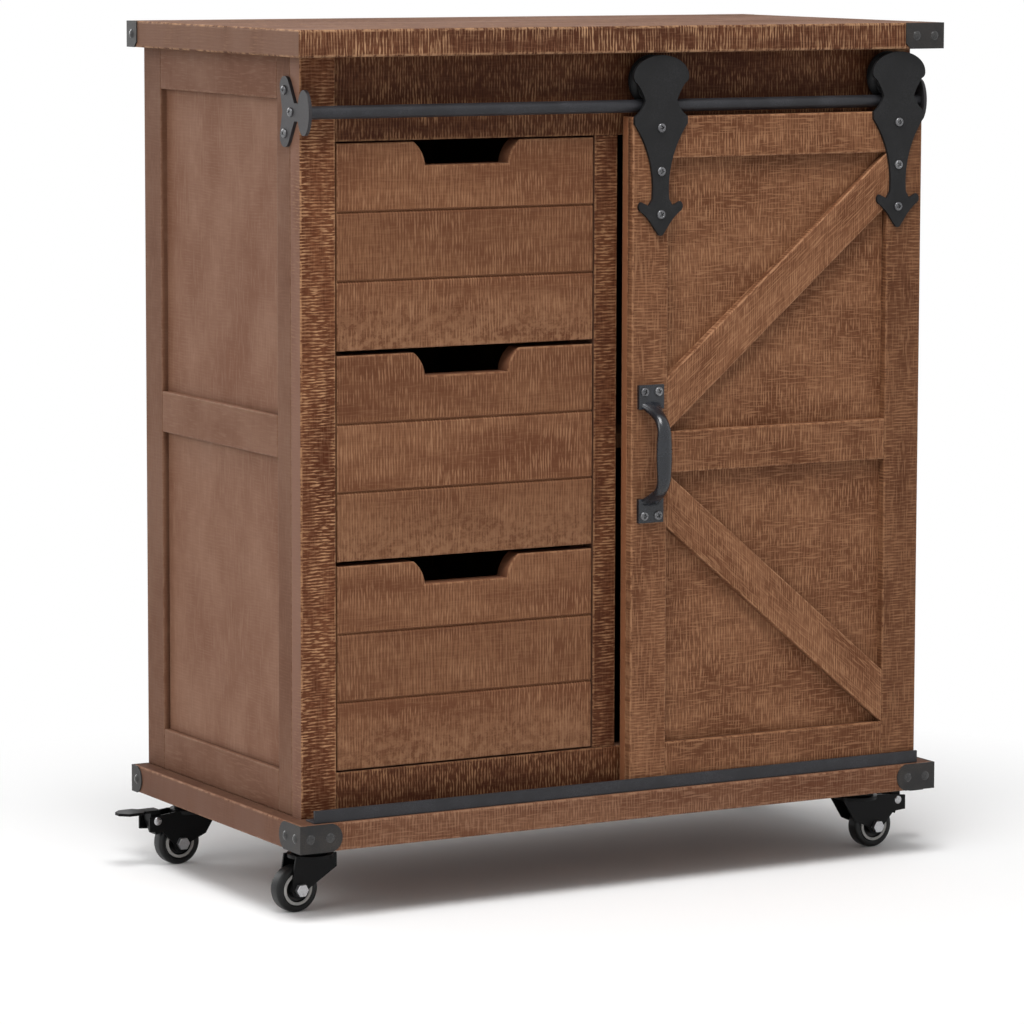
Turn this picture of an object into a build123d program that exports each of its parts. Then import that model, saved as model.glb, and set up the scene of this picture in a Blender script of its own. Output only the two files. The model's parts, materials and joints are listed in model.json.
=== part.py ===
from build123d import *
import os
from math import asin, atan, cos, radians, sin

# Storage cabinet on casters: three drawers beside a cupboard that a sliding barn door closes.
# Millimetres. X runs to the right as seen from the front, Y to the back and Z up from the floor.
# The origin is on the floor, under the middle of the whole object with its handle and brake pedals.

# Overall sizes, across the corner caps
overall_width = 640.0
overall_depth = 335.0
overall_height = 750.0

# Boards
top_thickness = 23.0
base_thickness = 24.0
side_overhang = 16.0
front_overhang = 29.0

# Front face frame
frame_thickness = 18.0
outer_stile_width = 33.0
middle_stile_width = 22.5
drawer_bay_width = 250.5
top_rail_height = 71.0
bottom_rail_height = 37.0

# Sides, back and inside
side_board_thickness = 12.0
side_strip_thickness = 6.0
side_front_strip_width = 25.0
side_back_strip_width = 34.0
side_rail_width = 36.0
joint_line = 0.2
back_thickness = 6.0
partition_thickness = 15.0
shelf_thickness = 12.0
shelf_top_height = 394.0
shelf_setback = 4.0
cleat_section = 15.0

# Drawers
drawer_count = 3
drawer_front_thickness = 18.0
drawer_side_gap = 1.5
drawer_end_gap = 1.5
drawer_between_gap = 4.0
drawer_wall = 10.0
drawer_bottom_thickness = 5.0
drawer_bottom_rise = 6.0
drawer_box_rise = 8.0
drawer_box_height = 118.0
drawer_back_space = 29.0
groove_width = 3.6
groove_depth = 2.0
scoop_floor_width = 80.0
scoop_depth = 20.0
scoop_lip_width = 11.0
runner_height = 16.0
runner_lap = 12.0
running_gap = 0.3

# Sliding door
door_width = 298.0
door_gap = 3.0
door_board_thickness = 10.0
door_strip_thickness = 8.0
door_strip_width = 36.0
door_foot_gap = 4.0
door_side_gap = 1.0
door_top_gap = 3.5

# Hanging rail and its brackets
rail_diameter = 11.0
rail_drop = 46.0
bracket_thickness = 3.0
bracket_eye_half_width = 10.5
bracket_eye_half_height = 19.0
bracket_neck_height = 15.0
bracket_middle_radius = 12.0
bracket_middle_setback = 14.0
bracket_lobe_radius = 8.5
bracket_lobe_setback = 22.5
bracket_lobe_rise = 21.0
bracket_screw_setback = 11.0
bracket_screw_rise = 18.0

# Hanger straps and rollers
strap_thickness = 3.0
strap_inset = 26.5
strap_head_half = 27.5
strap_head_rise = 22.2
strap_lobe_rise = 4.0
strap_lobe_round = 3.4
strap_neck_half = 15.8
strap_neck_drop = 16.5
strap_shoulder_half = 26.5
strap_shoulder_height = 6.0
strap_waist_half = 11.5
strap_waist_drop = 36.0
strap_shank_half = 8.3
strap_shank_drop = 71.0
strap_ear_half = 22.0
strap_ear_height = 11.0
strap_ear_root = 3.6
strap_point_half = 7.0
strap_point_drop = 95.0
strap_tip_half = 3.0
strap_tip_drop = 102.5
strap_screw_drops = (9.5, 47.0, 84.0)
roller_radius = 22.0
roller_root_radius = 15.7
roller_groove_radius = 6.3
roller_width = 15.0
roller_stud_radius = 4.0
roller_stud_head_radius = 8.0
roller_stud_head_height = 2.0
shaft_clearance = 0.08

# Floor guide
guide_height = 11.0
guide_sheet = 2.5
guide_flange = 14.0
guide_flange_sheet = 1.5
guide_gap = 0.8

# Pull handle
handle_height = 120.0
handle_standout = 29.0
handle_plate_width = 25.0
handle_plate_height = 21.0
handle_plate_thickness = 3.5
handle_root_width = 24.0
handle_neck_width = 12.0
handle_grip_width = 15.0
handle_grip_thickness = 8.0
handle_bend_radius = 18.0
handle_grip_run = 15.0
handle_screw_spacing = 14.0
handle_screw_inset = 6.0

# Corner caps
cap_sheet = 1.2
cap_leg = 40.0
cap_back_leg = 20.0
cap_end_radius = 9.0
cap_end_chamfer = 5.0
rivet_first = 10.0
rivet_second = 28.5
rivet_radius = 4.2
rivet_height = 1.6

# Round-headed wood screws
screw_head_radius = 4.0
screw_head_height = 2.0
screw_radius = 1.8
screw_hole_clearance = 0.1

# Casters
caster_height = 62.0
caster_pivot_inset = 42.0
caster_end_inset = 36.0
caster_trail = 16.0
caster_swivel = {"front_left": 184.0, "front_right": 2.0, "back_left": 182.0, "back_right": 6.0}
caster_plate = 44.0
caster_plate_sheet = 2.5
caster_plate_corner = 4.0
caster_screw_pitch = 32.0
caster_screw_head_radius = 3.2
race_radius = 17.0
race_height = 10.2
crown_radius = 20.0
crown_sheet = 3.0
king_pin_radius = 4.0
king_pin_head_radius = 7.0
king_pin_head_height = 2.0
fork_sheet = 2.0
fork_axle_radius = 8.0
fork_heel_height = 12.0
fork_knee_reach = 8.0
fork_knee_height = 27.0
fork_hem = 1.0
wheel_radius = 20.0
wheel_width = 14.0
wheel_side_gap = 2.0
wheel_shoulder = 3.0
wheel_core_radius = 14.5
wheel_core_recess = 2.0
wheel_rim_width = 3.0
wheel_hub_wall = 3.5
axle_radius = 3.0
axle_nut_across = 10.0
axle_nut_height = 4.5
brake_pin_reach = 40.0
brake_pin_height = 42.0
brake_pin_radius = 2.5
brake_barrel_radius = 5.0
brake_arm_width = 14.0
brake_ear_reach = 8.0
brake_ear_drop = 9.0
brake_pedal_reach = 75.0
brake_pedal_width = 22.0
brake_pedal_length = 24.0
brake_pedal_corner = 7.0
brake_pedal_height = 48.8
brake_pedal_sheet = 2.5
brake_shoe_gap = 2.2
brake_shoe_angle = 27.0
brake_shoe_width = 4.0

# Places that follow from the sizes above
board_width = overall_width - 2 * cap_sheet
door_thickness = door_board_thickness + door_strip_thickness
depth_with_handle = overall_depth - front_overhang + door_gap + door_thickness + handle_standout
rear_y = (depth_with_handle - rivet_height) / 2
board_back_y = rear_y - cap_sheet
board_front_y = rear_y - overall_depth + cap_sheet
face_y = rear_y - overall_depth + front_overhang
frame_back_y = face_y + frame_thickness
panel_front_y = board_back_y - back_thickness
base_top_z = caster_height + base_thickness
top_under_z = overall_height - top_thickness
carcass_half = overall_width / 2 - side_overhang
side_outer = carcass_half - side_strip_thickness
side_inner = side_outer - side_board_thickness
bay_left_x = -carcass_half + outer_stile_width
bay_right_x = bay_left_x + drawer_bay_width
middle_right_x = bay_right_x + middle_stile_width
partition_x = (bay_right_x + middle_right_x) / 2
bay_top_z = top_under_z - top_rail_height
bay_bottom_z = base_top_z + bottom_rail_height
door_back_y = face_y - door_gap
door_board_front_y = door_back_y - door_board_thickness
door_front_y = door_back_y - door_thickness
rail_y = door_back_y - door_thickness / 2
rail_z = top_under_z - rail_drop
rail_radius = rail_diameter / 2
roller_z = rail_z + rail_radius + running_gap + roller_root_radius
door_top_z = rail_z - rail_radius - door_top_gap
door_bottom_z = base_top_z + door_foot_gap
door_right_x = carcass_half - door_side_gap
door_left_x = door_right_x - door_width
door_middle_z = (door_top_z + door_bottom_z) / 2

os.makedirs("parts", exist_ok=True)


def save(piece, name):
    """Label a finished piece and write it under that name."""
    piece.part.label = name
    export_step(piece.part, f"parts/{name}.step")


def block(x, y, z):
    """Box between two limits on each axis."""
    middles = tuple((low + high) / 2 for low, high in (x, y, z))
    lengths = [high - low for low, high in (x, y, z)]
    with Locations(middles):
        Box(*lengths)


def front_plane(y, x=0, z=0):
    """Upright plane whose drawing is seen from the front."""
    return Plane(origin=(x, y, z), x_dir=(1, 0, 0), z_dir=(0, -1, 0))


def side_plane(x, y=0, z=0):
    """Upright plane across the cabinet, drawn with Y to the right and Z up."""
    return Plane(origin=(x, y, z), x_dir=(0, 1, 0), z_dir=(1, 0, 0))


def round_head(point, out, radius, height, shank_radius=0.0, shank_length=0.0):
    """Domed fastener whose head stands on the point and looks along out, with any shank behind it."""
    out = Vector(*out)
    across = Vector(1, 0, 0) if abs(out.Z) > 0.5 else Vector(0, 0, 1)
    dome = (radius**2 + height**2) / (2 * height)
    half_way = asin(radius / dome) / 2
    with BuildSketch(Plane(origin=point, x_dir=across, z_dir=across.cross(out))) as half:
        with BuildLine():
            crest = (dome * sin(half_way), height - dome * (1 - cos(half_way)))
            ThreePointArc((0, height), crest, (radius, 0))
            if shank_length:
                Polyline(
                    (radius, 0),
                    (shank_radius, 0),
                    (shank_radius, -shank_length),
                    (0, -shank_length),
                    (0, height),
                )
            else:
                Polyline((radius, 0), (0, 0), (0, height))
        make_face()
    revolve(half.sketch, axis=Axis(point, out))


# Top and base board

with BuildPart() as top_board:
    block((-board_width / 2, board_width / 2), (board_front_y, board_back_y), (top_under_z, overall_height))
save(top_board, "top_board")

with BuildPart() as base_board:
    block((-board_width / 2, board_width / 2), (board_front_y, board_back_y), (caster_height, base_top_z))
save(base_board, "base_board")

# Corner caps: folded steel angles, rounded at their ends on the base and clipped on the top board.
# The top board's front left corner has none.

cap_corners = [
    (side, end, low, high)
    for low, high in ((caster_height, base_top_z), (top_under_z, overall_height))
    for side in (-1, 1)
    for end in (-1, 1)
    if (side, end, low) != (-1, -1, top_under_z)
]


def cap_leg_outline(corner, inward, leg, low, high):
    """One leg of a cap, drawn on its own upright plane from the corner inwards."""
    with BuildLine() as outline:
        end = corner + inward * leg
        if low == caster_height:
            round_start = end - inward * cap_end_radius
            Polyline((round_start, low), (corner, low), (corner, high), (round_start, high))
            ThreePointArc((round_start, high), (end, (low + high) / 2), (round_start, low))
        else:
            Polyline(
                (corner, low),
                (end - inward * cap_end_chamfer, low),
                (end, low + cap_end_chamfer),
                (end, high),
                (corner, high),
                (corner, low),
            )
    make_face(outline.edges())


def cap_legs(side, end):
    """A corner's outer faces and leg lengths: along the front or back edge, then along the side."""
    outer_x = side * overall_width / 2
    outer_y = rear_y if end > 0 else rear_y - overall_depth
    side_leg = cap_back_leg if end > 0 else cap_leg
    return outer_x, outer_y, cap_leg, side_leg


with BuildPart() as corner_caps:
    for side, end, low, high in cap_corners:
        outer_x, outer_y, edge_leg, side_leg = cap_legs(side, end)
        with BuildSketch(front_plane(outer_y)):
            cap_leg_outline(outer_x, -side, edge_leg, low, high)
        extrude(amount=end * cap_sheet)
        with BuildSketch(side_plane(outer_x)):
            cap_leg_outline(outer_y, -end, side_leg, low, high)
        extrude(amount=-side * cap_sheet)
save(corner_caps, "corner_caps")

with BuildPart() as cap_rivets:
    for side, end, low, high in cap_corners:
        outer_x, outer_y, edge_leg, side_leg = cap_legs(side, end)
        middle_z = (low + high) / 2
        for step in (rivet_first, rivet_second):
            round_head((outer_x - side * step, outer_y, middle_z), (0, end, 0), rivet_radius, rivet_height)
            if step < side_leg:
                place = (outer_x, outer_y - end * step, middle_z)
                round_head(place, (side, 0, 0), rivet_radius, rivet_height)
save(cap_rivets, "cap_rivets")

# Front face frame

with BuildPart() as front_stiles:
    full_height = (base_top_z, top_under_z)
    block((-carcass_half, bay_left_x), (face_y, frame_back_y), full_height)
    block((carcass_half - outer_stile_width, carcass_half), (face_y, frame_back_y), full_height)
    block((bay_right_x, middle_right_x), (face_y, frame_back_y), (bay_bottom_z, bay_top_z))
save(front_stiles, "front_stiles")

with BuildPart() as front_rails:
    between_stiles = (bay_left_x, carcass_half - outer_stile_width)
    block(between_stiles, (face_y, frame_back_y), (bay_top_z, top_under_z))
    block(between_stiles, (face_y, frame_back_y), (base_top_z, bay_bottom_z))
save(front_rails, "front_rails")

# Sides: a board with applied stiles and rails that leave two sunk fields

side_middle_z = (base_top_z + top_under_z) / 2
strip_rail_y = (
    frame_back_y + side_front_strip_width + joint_line,
    board_back_y - side_back_strip_width - joint_line,
)

for side, name in ((-1, "left"), (1, "right")):
    board_x = sorted((side * side_inner, side * side_outer))
    strip_x = sorted((side * side_outer, side * carcass_half))

    with BuildPart() as side_panel:
        block(board_x, (frame_back_y, board_back_y), (base_top_z, top_under_z))
    save(side_panel, f"{name}_side_panel")

    with BuildPart() as side_frame:
        front_strip_y = (frame_back_y, frame_back_y + side_front_strip_width)
        block(strip_x, front_strip_y, (base_top_z, top_under_z))
        block(strip_x, (board_back_y - side_back_strip_width, board_back_y), (base_top_z, top_under_z))
        block(strip_x, strip_rail_y, (top_under_z - side_rail_width, top_under_z))
        middle_rail_z = (side_middle_z - side_rail_width / 2, side_middle_z + side_rail_width / 2)
        block(strip_x, strip_rail_y, middle_rail_z)
        block(strip_x, strip_rail_y, (base_top_z, base_top_z + side_rail_width))
    save(side_frame, f"{name}_side_frame")

# Back, partition, shelf and the cleats that carry it

with BuildPart() as back_panel:
    block((-side_inner, side_inner), (panel_front_y, board_back_y), (base_top_z, top_under_z))
save(back_panel, "back_panel")

partition_left = partition_x - partition_thickness / 2
partition_right = partition_x + partition_thickness / 2

with BuildPart() as partition:
    block((partition_left, partition_right), (frame_back_y, panel_front_y), (base_top_z, top_under_z))
save(partition, "partition")

shelf_y = (frame_back_y + shelf_setback, panel_front_y)
shelf_under_z = shelf_top_height - shelf_thickness

with BuildPart() as shelf:
    block((partition_right, side_inner), shelf_y, (shelf_under_z, shelf_top_height))
save(shelf, "shelf")

with BuildPart() as shelf_cleats:
    cleat_z = (shelf_under_z - cleat_section, shelf_under_z)
    block((partition_right, partition_right + cleat_section), shelf_y, cleat_z)
    block((side_inner - cleat_section, side_inner), shelf_y, cleat_z)
save(shelf_cleats, "shelf_cleats")

# Drawers, from the top one down, and the runners under their sides

bay_height = bay_top_z - bay_bottom_z
gaps_in_bay = 2 * drawer_end_gap + (drawer_count - 1) * drawer_between_gap
drawer_height = (bay_height - gaps_in_bay) / drawer_count
drawer_pitch = drawer_height + drawer_between_gap
drawer_left = bay_left_x + drawer_side_gap
drawer_right = bay_right_x - drawer_side_gap
drawer_middle_x = (drawer_left + drawer_right) / 2
drawer_tops = [bay_top_z - drawer_end_gap - row * drawer_pitch for row in range(drawer_count)]
box_front_y = face_y + drawer_front_thickness
box_back_y = panel_front_y - drawer_back_space
inner_left = drawer_left + drawer_wall
inner_right = drawer_right - drawer_wall
box_bottoms = [top - drawer_height + drawer_box_rise for top in drawer_tops]

with BuildPart() as drawer_runners:
    for box_bottom in box_bottoms:
        runner_z = (box_bottom - running_gap - runner_height, box_bottom - running_gap)
        block((-side_inner, drawer_left + runner_lap), (frame_back_y, panel_front_y), runner_z)
        block((drawer_right - runner_lap, partition_left), (frame_back_y, panel_front_y), runner_z)
save(drawer_runners, "drawer_runners")

scoop_floor_half = scoop_floor_width / 2
scoop_mouth_half = scoop_floor_half + scoop_lip_width

for name, top_z, box_bottom in zip(("top", "middle", "bottom"), drawer_tops, box_bottoms):
    low_z = top_z - drawer_height

    with BuildPart() as drawer_front:
        block((drawer_left, drawer_right), (face_y, box_front_y), (low_z, top_z))
        # hand grip: a scoop in the upper edge with a flat floor, whose lips round over into the edge
        with BuildSketch(front_plane(box_front_y, drawer_middle_x, top_z)):
            with BuildLine():
                mouth = (scoop_mouth_half, 0)
                lip = (scoop_floor_half + scoop_lip_width / 4, -scoop_depth / 2)
                floor = (scoop_floor_half, -scoop_depth)
                ThreePointArc(mouth, lip, floor)
                Line(floor, (0, -scoop_depth))
                mirror(about=Plane.YZ)
                Line(mouth, (-scoop_mouth_half, 0))
            make_face()
        extrude(amount=drawer_front_thickness, mode=Mode.SUBTRACT)
        # two V grooves that part the front into three planks
        with BuildSketch(side_plane(drawer_left)):
            for share in (1 / 3, 2 / 3):
                groove_z = low_z + share * drawer_height
                with BuildLine():
                    Polyline(
                        (face_y, groove_z - groove_width / 2),
                        (face_y + groove_depth, groove_z),
                        (face_y, groove_z + groove_width / 2),
                        close=True,
                    )
                make_face()
        extrude(amount=drawer_right - drawer_left, mode=Mode.SUBTRACT)
    save(drawer_front, f"{name}_drawer_front")

    side_z = (box_bottom, box_bottom + drawer_box_height)
    floor_z = (box_bottom + drawer_bottom_rise, box_bottom + drawer_bottom_rise + drawer_bottom_thickness)

    with BuildPart() as drawer_sides:
        block((drawer_left, inner_left), (box_front_y, box_back_y), side_z)
        block((inner_right, drawer_right), (box_front_y, box_back_y), side_z)
    save(drawer_sides, f"{name}_drawer_sides")

    with BuildPart() as drawer_back:
        block((inner_left, inner_right), (box_back_y - drawer_wall, box_back_y), (floor_z[1], side_z[1]))
    save(drawer_back, f"{name}_drawer_back")

    with BuildPart() as drawer_bottom:
        block((inner_left, inner_right), (box_front_y, box_back_y), floor_z)
    save(drawer_bottom, f"{name}_drawer_bottom")

# Sliding door: a back board with applied stiles, rails and two diagonal braces

with BuildPart() as door_board:
    block((door_left_x, door_right_x), (door_board_front_y, door_back_y), (door_bottom_z, door_top_z))
save(door_board, "door_board")

strip_y = (door_front_y, door_board_front_y)
field_left = door_left_x + door_strip_width
field_right = door_right_x - door_strip_width

with BuildPart() as door_left_stile:
    block((door_left_x, field_left), strip_y, (door_bottom_z, door_top_z))
save(door_left_stile, "door_left_stile")

with BuildPart() as door_right_stile:
    block((field_right, door_right_x), strip_y, (door_bottom_z, door_top_z))
save(door_right_stile, "door_right_stile")

lower_field_z = (door_bottom_z + door_strip_width, door_middle_z - door_strip_width / 2)
upper_field_z = (door_middle_z + door_strip_width / 2, door_top_z - door_strip_width)

with BuildPart() as door_rails:
    block((field_left, field_right), strip_y, (upper_field_z[1], door_top_z))
    block((field_left, field_right), strip_y, (lower_field_z[1], upper_field_z[0]))
    block((field_left, field_right), strip_y, (door_bottom_z, lower_field_z[0]))
save(door_rails, "door_rails")


def brace_cut(width, height):
    """Upright length of a brace's end cut, for a brace of strip width from corner to corner."""
    cut = door_strip_width
    for _ in range(20):
        cut = door_strip_width / cos(atan((height - cut) / width))
    return cut


field_width = field_right - field_left
field_height = upper_field_z[1] - upper_field_z[0]
end_cut = brace_cut(field_width, field_height)

with BuildPart() as door_braces:
    with BuildSketch(front_plane(door_board_front_y)):
        for start_z, end_z in ((upper_field_z[0], upper_field_z[1]), (lower_field_z[1], lower_field_z[0])):
            rise = end_cut if end_z > start_z else -end_cut
            with BuildLine():
                Polyline(
                    (field_left, start_z),
                    (field_left, start_z + rise),
                    (field_right, end_z),
                    (field_right, end_z - rise),
                    close=True,
                )
            make_face()
    extrude(amount=door_strip_thickness)
save(door_braces, "door_braces")

# Hanging rail between two bracket plates on the cabinet's sides

with BuildPart() as hanging_rail:
    with Locations(Plane.YZ):
        with Locations((rail_y, rail_z)):
            Cylinder(rail_radius, 2 * carcass_half)
save(hanging_rail, "hanging_rail")

bracket_screws = [
    (face_y + bracket_screw_setback, rail_z),
    (face_y + bracket_lobe_setback, rail_z + bracket_screw_rise),
    (face_y + bracket_lobe_setback, rail_z - bracket_screw_rise),
]

with BuildPart() as rail_brackets:
    for side in (-1, 1):
        with BuildSketch(side_plane(side * carcass_half)):
            middle = (face_y + bracket_middle_setback, rail_z)
            for rise in (-bracket_lobe_rise, bracket_lobe_rise):
                with BuildSketch(mode=Mode.PRIVATE) as lobe:
                    with Locations(middle):
                        Circle(bracket_middle_radius)
                    with Locations((face_y + bracket_lobe_setback, rail_z + rise)):
                        Circle(bracket_lobe_radius)
                    make_hull()
                add(lobe.sketch)
            with Locations((rail_y, rail_z)):
                Ellipse(bracket_eye_half_width, bracket_eye_half_height)
            neck_length = middle[0] - rail_y
            with Locations(((middle[0] + rail_y) / 2, rail_z)):
                Rectangle(neck_length, bracket_neck_height)
            with Locations(*bracket_screws):
                Circle(screw_radius + screw_hole_clearance, mode=Mode.SUBTRACT)
        extrude(amount=side * bracket_thickness)
save(rail_brackets, "rail_brackets")

with BuildPart() as bracket_fixings:
    for side in (-1, 1):
        for y, z in bracket_screws:
            place = (side * (carcass_half + bracket_thickness), y, z)
            round_head(place, (side, 0, 0), screw_head_radius, screw_head_height, screw_radius, bracket_thickness)
save(bracket_fixings, "bracket_screws")

# Floor guide: a steel angle on the base board that keeps the door's foot from swinging out

guide_back_y = door_front_y - guide_gap

with BuildPart() as floor_guide:
    with BuildSketch(side_plane(-carcass_half)):
        with BuildLine():
            Polyline(
                (guide_back_y - guide_sheet, base_top_z),
                (guide_back_y + guide_flange, base_top_z),
                (guide_back_y + guide_flange, base_top_z + guide_flange_sheet),
                (guide_back_y, base_top_z + guide_flange_sheet),
                (guide_back_y, base_top_z + guide_height),
                (guide_back_y - guide_sheet, base_top_z + guide_height),
                close=True,
            )
        make_face()
    extrude(amount=2 * carcass_half)
save(floor_guide, "floor_guide")

# Hanger straps: arrow-shaped plates on the door's face, with a roller on a stud behind each head

strap_x = {"left": door_left_x + strap_inset, "right": door_right_x - strap_inset}
strap_front_y = door_front_y - strap_thickness
screw_zs = [door_top_z - drop for drop in strap_screw_drops]


def strap_outline():
    """Right half of the strap from its crown to its tip, drawn about the strap's own centre line."""
    crown = (0, roller_z + strap_head_rise)
    lobe_z = roller_z + strap_lobe_rise
    lobe = (strap_head_half, lobe_z)
    under_lobe = (strap_head_half - strap_lobe_round, lobe_z - 1.6 * strap_lobe_round)
    neck = (strap_neck_half, roller_z - strap_neck_drop)
    throat = ((under_lobe[0] + neck[0]) / 2 - 0.8, (under_lobe[1] + neck[1]) / 2)
    shoulder = (strap_shoulder_half, door_top_z)
    collar = ((neck[0] + shoulder[0]) / 2 - 1.6, (neck[1] + shoulder[1]) / 2 - 0.6)
    hip = (strap_shoulder_half, door_top_z - strap_shoulder_height)
    waist = (strap_waist_half, door_top_z - strap_waist_drop)
    shank = (strap_shank_half, door_top_z - strap_shank_drop)
    ear_top_z = shank[1] - 2.0
    ear_root = (strap_shank_half + strap_ear_root, ear_top_z - strap_ear_root)
    ear = (strap_ear_half - 2.4, ear_top_z)
    ear_side = (strap_ear_half, ear_top_z - strap_ear_height / 3)
    ear_under = (strap_ear_half - 3.0, ear_top_z - 0.8 * strap_ear_height)
    point_top = (strap_point_half, door_top_z - strap_point_drop)
    cheek = ((ear_under[0] + point_top[0]) / 2 - 1.4, (ear_under[1] + point_top[1]) / 2 - 0.4)
    tip = (0, door_top_z - strap_tip_drop)
    tip_side = (strap_tip_half, tip[1] + strap_tip_half * 0.7)
    EllipticalCenterArc((0, lobe_z), strap_head_half, crown[1] - lobe_z, start_angle=0, arc_size=90)
    ThreePointArc(lobe, (strap_head_half - 0.6, lobe_z - 0.9 * strap_lobe_round), under_lobe)
    ThreePointArc(under_lobe, throat, neck)
    ThreePointArc(neck, collar, shoulder)
    Line(shoulder, hip)
    ThreePointArc(hip, waist, shank)
    Polyline(shank, ear_root, ear)
    ThreePointArc(ear, ear_side, ear_under)
    ThreePointArc(ear_under, cheek, point_top)
    Line(point_top, tip_side)
    ThreePointArc(tip_side, (strap_tip_half * 0.6, tip[1] + strap_tip_half * 0.2), tip)


for name, x in strap_x.items():
    with BuildPart() as hanger_strap:
        with BuildSketch(front_plane(door_front_y, x)):
            with BuildLine():
                strap_outline()
                mirror(about=Plane.YZ)
            make_face()
            with Locations(*[(0, z) for z in screw_zs]):
                Circle(screw_radius + screw_hole_clearance, mode=Mode.SUBTRACT)
        extrude(amount=strap_thickness)
    save(hanger_strap, f"{name}_hanger_strap")

    with BuildPart() as roller:
        half_width = roller_width / 2
        bore = roller_stud_radius + shaft_clearance
        with BuildSketch(side_plane(x, rail_y, roller_z)):
            with BuildLine():
                Polyline(
                    (-roller_groove_radius, roller_radius),
                    (-half_width, roller_radius),
                    (-half_width, bore),
                    (half_width, bore),
                    (half_width, roller_radius),
                    (roller_groove_radius, roller_radius),
                )
                ThreePointArc(
                    (roller_groove_radius, roller_radius),
                    (0, roller_root_radius),
                    (-roller_groove_radius, roller_radius),
                )
            make_face()
        revolve(axis=Axis((x, rail_y, roller_z), (0, 1, 0)))
    save(roller, f"{name}_roller")

with BuildPart() as roller_studs:
    stud_head_y = rail_y + roller_width / 2 + running_gap
    collar_front_y = rail_y - roller_width / 2 - running_gap
    for x in strap_x.values():
        with Locations(front_plane(stud_head_y + roller_stud_head_height)):
            with Locations((x, roller_z)):
                stud_length = stud_head_y + roller_stud_head_height - door_front_y
                low_end = (Align.CENTER, Align.CENTER, Align.MIN)
                Cylinder(roller_stud_radius, stud_length, align=low_end)
                Cylinder(roller_stud_head_radius, roller_stud_head_height, align=low_end)
        with Locations(front_plane(collar_front_y)):
            with Locations((x, roller_z)):
                Cylinder(roller_stud_head_radius, collar_front_y - door_front_y, align=low_end)
save(roller_studs, "roller_studs")

# Pull handle: two plates joined by a bowed grip, cast in one

handle_x = door_left_x + door_strip_width / 2
grip_y = door_front_y - handle_standout + handle_grip_thickness / 2
plate_zs = [
    (door_middle_z + handle_height / 2 - handle_plate_height, door_middle_z + handle_height / 2),
    (door_middle_z - handle_height / 2, door_middle_z - handle_height / 2 + handle_plate_height),
]
handle_screws = [
    (handle_x + across, z)
    for across in (-handle_screw_spacing / 2, handle_screw_spacing / 2)
    for z in (plate_zs[0][1] - handle_screw_inset, plate_zs[1][0] + handle_screw_inset)
]

with BuildPart() as door_handle:
    grip_top = plate_zs[0][0] + handle_grip_thickness / 2
    grip_bottom = plate_zs[1][1] - handle_grip_thickness / 2
    with BuildLine(side_plane(handle_x)) as grip_line:
        FilletPolyline(
            (door_front_y, grip_top),
            (grip_y, grip_top - handle_grip_run),
            (grip_y, grip_bottom + handle_grip_run),
            (door_front_y, grip_bottom),
            radius=handle_bend_radius,
        )
    # the grip is wide at its roots, narrow at the bends and swells where the hand holds it
    grip_widths = (handle_root_width, handle_neck_width, handle_grip_width, handle_neck_width, handle_root_width)
    for share, width in zip((0, 0.22, 0.5, 0.78, 1), grip_widths):
        along = grip_line.line % share
        with BuildSketch(Plane(origin=grip_line.line @ share, x_dir=(1, 0, 0), z_dir=along)):
            Ellipse(width / 2, handle_grip_thickness / 2)
    sweep(multisection=True)
    split(bisect_by=front_plane(door_front_y), keep=Keep.TOP)
    plate_x = (handle_x - handle_plate_width / 2, handle_x + handle_plate_width / 2)
    for plate_z in plate_zs:
        block(plate_x, (door_front_y - handle_plate_thickness, door_front_y), plate_z)
    with Locations(front_plane(door_front_y)):
        with Locations(*handle_screws):
            Cylinder(screw_radius + screw_hole_clearance, 4 * handle_plate_thickness, mode=Mode.SUBTRACT)
save(door_handle, "door_handle")

with BuildPart() as door_screws:
    for x in strap_x.values():
        for z in screw_zs:
            place = (x, strap_front_y, z)
            round_head(place, (0, -1, 0), screw_head_radius, screw_head_height, screw_radius, strap_thickness)
    for x, z in handle_screws:
        place = (x, door_front_y - handle_plate_thickness, z)
        round_head(
            place, (0, -1, 0), screw_head_radius, screw_head_height, screw_radius, handle_plate_thickness
        )
save(door_screws, "door_screws")

# Casters, drawn with the king pin on the Z axis and the wheel trailing along +X

plate_under_z = caster_height - caster_plate_sheet
crown_top_z = plate_under_z - race_height - running_gap
crown_under_z = crown_top_z - crown_sheet
fork_inner = wheel_width / 2 + wheel_side_gap
fork_outer = fork_inner + fork_sheet
axle_place = (caster_trail, wheel_radius)

with BuildPart() as caster_plate_shape:
    with BuildSketch(Plane.XY.offset(plate_under_z)):
        RectangleRounded(caster_plate, caster_plate, caster_plate_corner)
        with GridLocations(caster_screw_pitch, caster_screw_pitch, 2, 2):
            Circle(screw_radius + screw_hole_clearance, mode=Mode.SUBTRACT)
    extrude(amount=caster_plate_sheet)
    with BuildSketch(Plane.XY.offset(plate_under_z)):
        Circle(race_radius)
    extrude(amount=-race_height, taper=4)
    with BuildSketch(Plane.XY.offset(plate_under_z)):
        Circle(king_pin_radius)
    pin_end_z = crown_under_z - running_gap - king_pin_head_height
    extrude(amount=pin_end_z - plate_under_z)
    with BuildSketch(Plane.XY.offset(pin_end_z)):
        Circle(king_pin_head_radius)
    extrude(amount=king_pin_head_height)

with BuildPart() as caster_screw_shape:
    with GridLocations(caster_screw_pitch, caster_screw_pitch, 2, 2) as grid:
        screw_places = [place.position for place in grid]
    for place in screw_places:
        head_place = (place.X, place.Y, plate_under_z)
        round_head(
            head_place,
            (0, 0, -1),
            caster_screw_head_radius,
            screw_head_height,
            screw_radius,
            caster_plate_sheet,
        )


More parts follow.
